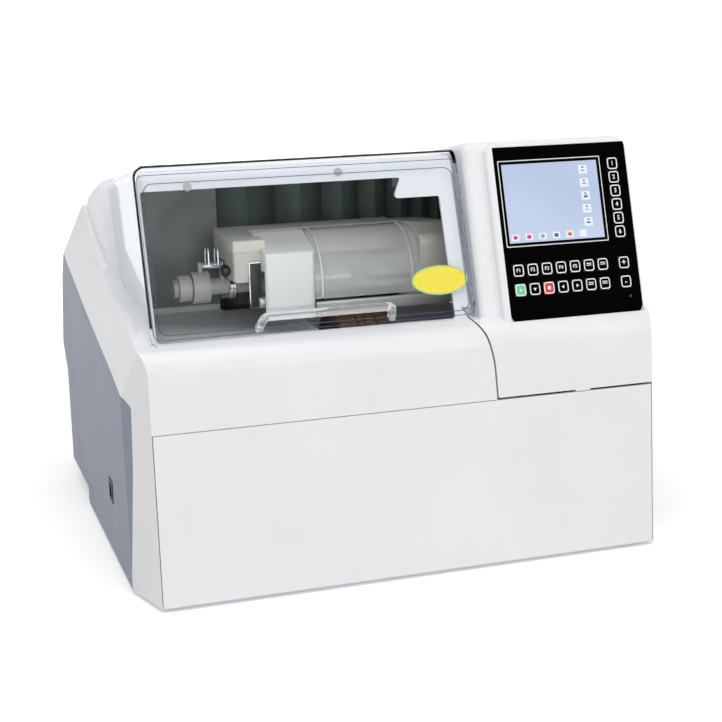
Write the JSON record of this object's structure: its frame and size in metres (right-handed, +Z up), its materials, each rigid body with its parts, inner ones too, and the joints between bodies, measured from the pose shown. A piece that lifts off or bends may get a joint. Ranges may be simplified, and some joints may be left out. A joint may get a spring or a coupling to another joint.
{
  "type": "optical lens edger",
  "caption": "Bench-top optical lens edger: white covers on a grey housing, clear hinged lid over a wet grinding chamber, sloping console with a display and keys",
  "frame": {"origin": "on the bench, under the centre of the overall box", "axes": "+X to the right along the longest side, +Y to the back, +Z up"},
  "size_m": [0.561, 0.5093, 0.4224],
  "materials": {
    "aluminium": "machined aluminium",
    "arm_beige": "light beige-grey moulded arm cover",
    "arm_white": "white moulded arm cover",
    "bellows_rubber": "dark green-grey pleated rubber",
    "black_plastic": "black moulded plastic",
    "black_rubber": "black rubber",
    "brass": "turned brass",
    "bronze_wheel": "sintered bronze diamond wheel",
    "chamber_grey": "light grey moulded tub, wet-worn",
    "chrome": "polished chrome",
    "clear_lid": "clear moulded polycarbonate",
    "clear_shield": "clear splash shield",
    "grey_housing": "blue-grey fine powder coat",
    "key_black": "black key with a pale outline",
    "key_green": "green key",
    "key_red": "red key",
    "motor_paint": "black painted motor",
    "panel_black": "black membrane panel, satin",
    "screen": "lit pale blue display glass",
    "steel": "ground and brushed steel",
    "white_cover": "semi-gloss moulded white plastic, slightly cool"
  },
  "bodies": {
    "machine": {"base_housing": "grey_housing", "front_cover": "white_cover", "top_cover": "white_cover", "console_cover": "white_cover", "chamber_tub": "chamber_grey", "bellows": "bellows_rubber", "panel_fascia": "panel_black", "display_screen": "screen", "switch_housing": "black_plastic", "rubber_feet": "black_rubber", "cover_screws": "steel", "power_inlet": "black_plastic", "hose_barbs": "brass", "spindle_housing": "aluminium", "wheel_motor": "motor_paint", "drive_belt": "black_rubber", "guide_shaft": "steel", "spray_nozzle": "brass", "hinge_bracket": "steel"},
    "lid": {"lid_shell": "clear_lid", "lid_handle": "clear_lid"},
    "spindle": {"wheel_spindle": "steel", "roughing_wheel": "bronze_wheel", "bevel_wheel": "bronze_wheel", "polishing_wheel": "bronze_wheel", "spindle_pulley": "aluminium"},
    "motor_drive": {"motor_pulley": "aluminium"},
    "sleeve": {"traverse_sleeve": "steel"},
    "head": {"carriage_frame": "aluminium", "left_arm_cover": "arm_white", "right_arm_cover": "arm_beige", "splash_shield": "clear_shield", "chuck_motor": "aluminium"},
    "left_chuck_body": {"left_chuck": "steel"},
    "quill": {"clamp_quill": "steel"},
    "right_chuck_body": {"right_chuck": "steel"},
    "feelers": {"feeler_styli": "chrome"},
    "rocker": {"power_rocker": "key_red"},
    "key_side_1_body": {"key_side_1": "key_black"},
    "key_side_2_body": {"key_side_2": "key_black"},
    "key_side_3_body": {"key_side_3": "key_black"},
    "key_side_4_body": {"key_side_4": "key_black"},
    "key_side_5_body": {"key_side_5": "key_black"},
    "key_side_6_body": {"key_side_6": "key_black"},
    "key_upper_1_body": {"key_upper_1": "key_black"},
    "key_upper_2_body": {"key_upper_2": "key_black"},
    "key_upper_3_body": {"key_upper_3": "key_black"},
    "key_upper_4_body": {"key_upper_4": "key_black"},
    "key_upper_5_body": {"key_upper_5": "key_black"},
    "key_upper_6_body": {"key_upper_6": "key_black"},
    "key_upper_7_body": {"key_upper_7": "key_black"},
    "key_lower_1_body": {"key_lower_1": "key_green"},
    "key_lower_2_body": {"key_lower_2": "key_black"},
    "key_lower_3_body": {"key_lower_3": "key_red"},
    "key_lower_4_body": {"key_lower_4": "key_black"},
    "key_lower_5_body": {"key_lower_5": "key_black"},
    "key_lower_6_body": {"key_lower_6": "key_black"},
    "key_lower_7_body": {"key_lower_7": "key_black"},
    "key_plus_body": {"key_plus": "key_black"},
    "key_minus_body": {"key_minus": "key_black"}
  },
  "joints": [
    {"name": "lid_hinge", "type": "hinge", "parent": "machine", "child": "lid", "pos_m": [0, 0.024, 0.3935], "axis": [-1, 0, 0], "range_deg": [0, 75]},
    {"name": "head_traverse", "type": "slide", "parent": "machine", "child": "sleeve", "axis": [1, 0, 0], "range_m": [-0.02, 0.02]},
    {"name": "head_swing", "type": "hinge", "parent": "sleeve", "child": "head", "pos_m": [0, 0.092, 0.236], "axis": [-1, 0, 0], "range_deg": [-3.5, 9]},
    {"name": "left_chuck_spin", "type": "hinge", "parent": "head", "child": "left_chuck_body", "pos_m": [-0.05, -0.078, 0.28], "axis": [1, 0, 0], "continuous": true},
    {"name": "clamp_slide", "type": "slide", "parent": "head", "child": "quill", "axis": [-1, 0, 0], "range_m": [0, 0.02]},
    {"name": "right_chuck_spin", "type": "hinge", "parent": "quill", "child": "right_chuck_body", "pos_m": [0.05, -0.078, 0.28], "axis": [1, 0, 0], "continuous": true},
    {"name": "wheel_spin", "type": "hinge", "parent": "machine", "child": "spindle", "pos_m": [0.1, -0.083, 0.197], "axis": [1, 0, 0], "continuous": true},
    {"name": "motor_spin", "type": "hinge", "parent": "machine", "child": "motor_drive", "pos_m": [0.219, -0.083, 0.065], "axis": [1, 0, 0], "continuous": true},
    {"name": "feeler_tilt", "type": "hinge", "parent": "head", "child": "feelers", "pos_m": [-0.163, -0.078, 0.302], "axis": [1, 0, 0], "range_deg": [0, 25], "stiffness_Nm_per_rad": 0.05, "springref_deg": -11.46},
    {"name": "power_switch", "type": "hinge", "parent": "machine", "child": "rocker", "pos_m": [-0.276, -0.086, 0.075], "axis": [0, 1, 0], "range_deg": [0, 10]},
    {"name": "key_side_1_press", "type": "slide", "parent": "machine", "child": "key_side_1_body", "axis": [0, 0.9576, -0.2883], "range_m": [0, 0.0005], "stiffness_N_per_m": 400, "springref_m": -0.002},
    {"name": "key_side_2_press", "type": "slide", "parent": "machine", "child": "key_side_2_body", "axis": [0, 0.9576, -0.2883], "range_m": [0, 0.0005], "stiffness_N_per_m": 400, "springref_m": -0.002},
    {"name": "key_side_3_press", "type": "slide", "parent": "machine", "child": "key_side_3_body", "axis": [0, 0.9576, -0.2883], "range_m": [0, 0.0005], "stiffness_N_per_m": 400, "springref_m": -0.002},
    {"name": "key_side_4_press", "type": "slide", "parent": "machine", "child": "key_side_4_body", "axis": [0, 0.9576, -0.2883], "range_m": [0, 0.0005], "stiffness_N_per_m": 400, "springref_m": -0.002},
    {"name": "key_side_5_press", "type": "slide", "parent": "machine", "child": "key_side_5_body", "axis": [0, 0.9576, -0.2883], "range_m": [0, 0.0005], "stiffness_N_per_m": 400, "springref_m": -0.002},
    {"name": "key_side_6_press", "type": "slide", "parent": "machine", "child": "key_side_6_body", "axis": [0, 0.9576, -0.2883], "range_m": [0, 0.0005], "stiffness_N_per_m": 400, "springref_m": -0.002},
    {"name": "key_upper_1_press", "type": "slide", "parent": "machine", "child": "key_upper_1_body", "axis": [0, 0.9576, -0.2883], "range_m": [0, 0.0005], "stiffness_N_per_m": 400, "springref_m": -0.002},
    {"name": "key_upper_2_press", "type": "slide", "parent": "machine", "child": "key_upper_2_body", "axis": [0, 0.9576, -0.2883], "range_m": [0, 0.0005], "stiffness_N_per_m": 400, "springref_m": -0.002},
    {"name": "key_upper_3_press", "type": "slide", "parent": "machine", "child": "key_upper_3_body", "axis": [0, 0.9576, -0.2883], "range_m": [0, 0.0005], "stiffness_N_per_m": 400, "springref_m": -0.002},
    {"name": "key_upper_4_press", "type": "slide", "parent": "machine", "child": "key_upper_4_body", "axis": [0, 0.9576, -0.2883], "range_m": [0, 0.0005], "stiffness_N_per_m": 400, "springref_m": -0.002},
    {"name": "key_upper_5_press", "type": "slide", "parent": "machine", "child": "key_upper_5_body", "axis": [0, 0.9576, -0.2883], "range_m": [0, 0.0005], "stiffness_N_per_m": 400, "springref_m": -0.002},
    {"name": "key_upper_6_press", "type": "slide", "parent": "machine", "child": "key_upper_6_body", "axis": [0, 0.9576, -0.2883], "range_m": [0, 0.0005], "stiffness_N_per_m": 400, "springref_m": -0.002},
    {"name": "key_upper_7_press", "type": "slide", "parent": "machine", "child": "key_upper_7_body", "axis": [0, 0.9576, -0.2883], "range_m": [0, 0.0005], "stiffness_N_per_m": 400, "springref_m": -0.002},
    {"name": "key_lower_1_press", "type": "slide", "parent": "machine", "child": "key_lower_1_body", "axis": [0, 0.9576, -0.2883], "range_m": [0, 0.0005], "stiffness_N_per_m": 400, "springref_m": -0.002},
    {"name": "key_lower_2_press", "type": "slide", "parent": "machine", "child": "key_lower_2_body", "axis": [0, 0.9576, -0.2883], "range_m": [0, 0.0005], "stiffness_N_per_m": 400, "springref_m": -0.002},
    {"name": "key_lower_3_press", "type": "slide", "parent": "machine", "child": "key_lower_3_body", "axis": [0, 0.9576, -0.2883], "range_m": [0, 0.0005], "stiffness_N_per_m": 400, "springref_m": -0.002},
    {"name": "key_lower_4_press", "type": "slide", "parent": "machine", "child": "key_lower_4_body", "axis": [0, 0.9576, -0.2883], "range_m": [0, 0.0005], "stiffness_N_per_m": 400, "springref_m": -0.002},
    {"name": "key_lower_5_press", "type": "slide", "parent": "machine", "child": "key_lower_5_body", "axis": [0, 0.9576, -0.2883], "range_m": [0, 0.0005], "stiffness_N_per_m": 400, "springref_m": -0.002},
    {"name": "key_lower_6_press", "type": "slide", "parent": "machine", "child": "key_lower_6_body", "axis": [0, 0.9576, -0.2883], "range_m": [0, 0.0005], "stiffness_N_per_m": 400, "springref_m": -0.002},
    {"name": "key_lower_7_press", "type": "slide", "parent": "machine", "child": "key_lower_7_body", "axis": [0, 0.9576, -0.2883], "range_m": [0, 0.0005], "stiffness_N_per_m": 400, "springref_m": -0.002},
    {"name": "key_plus_press", "type": "slide", "parent": "machine", "child": "key_plus_body", "axis": [0, 0.9576, -0.2883], "range_m": [0, 0.0005], "stiffness_N_per_m": 400, "springref_m": -0.002},
    {"name": "key_minus_press", "type": "slide", "parent": "machine", "child": "key_minus_body", "axis": [0, 0.9576, -0.2883], "range_m": [0, 0.0005], "stiffness_N_per_m": 400, "springref_m": -0.002}
  ],
  "couplings": [
    {"joint": "right_chuck_spin", "follows": "left_chuck_spin", "ratio": 1},
    {"joint": "motor_spin", "follows": "wheel_spin", "ratio": 0.73333}
  ]
}
